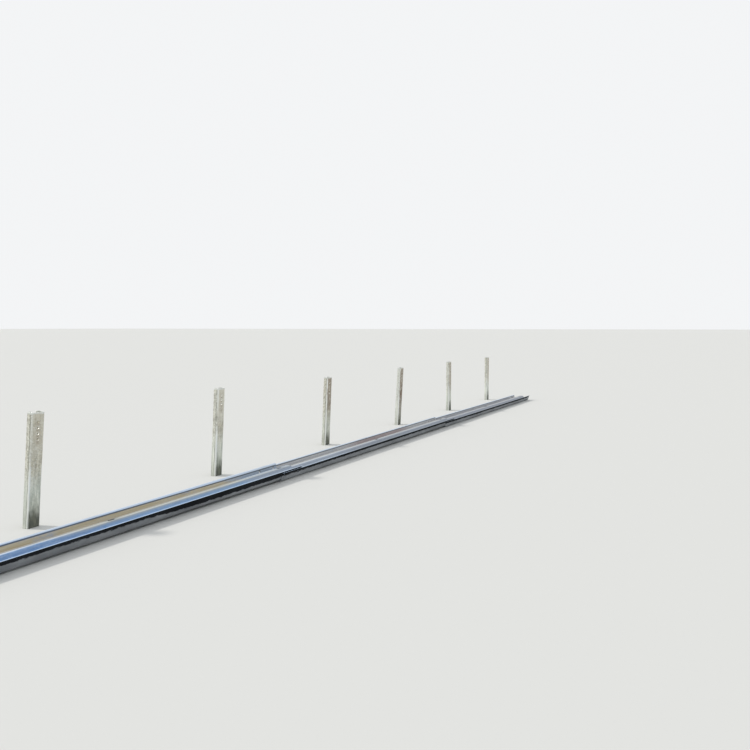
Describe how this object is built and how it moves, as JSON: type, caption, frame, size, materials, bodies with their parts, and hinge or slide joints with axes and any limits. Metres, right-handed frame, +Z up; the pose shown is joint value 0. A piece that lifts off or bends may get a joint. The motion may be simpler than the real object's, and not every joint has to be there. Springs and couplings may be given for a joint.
{
  "type": "highway guardrail section",
  "caption": "Steel road barrier half way through being put up: lipped channel posts driven in a row, and corrugated rails laid out end to end on the ground beside them.",
  "frame": {"origin": "on the middle of the first post's web, on its foot at ground level", "axes": "+X along the road from the first post to the last, +Y from the road to the hillside, +Z up"},
  "size_m": [12.37, 0.7628, 0.8067],
  "materials": {
    "post_steel": "weathered galvanised steel, mottled and stained",
    "rail_steel": "new galvanised steel with a film of dust"
  },
  "bodies": {
    "root": {"post_1": "post_steel", "post_2": "post_steel", "post_3": "post_steel", "post_4": "post_steel", "post_5": "post_steel", "post_6": "post_steel", "post_7": "post_steel", "rail_1": "rail_steel", "rail_2": "rail_steel", "rail_3": "rail_steel"}
  },
  "joints": []
}
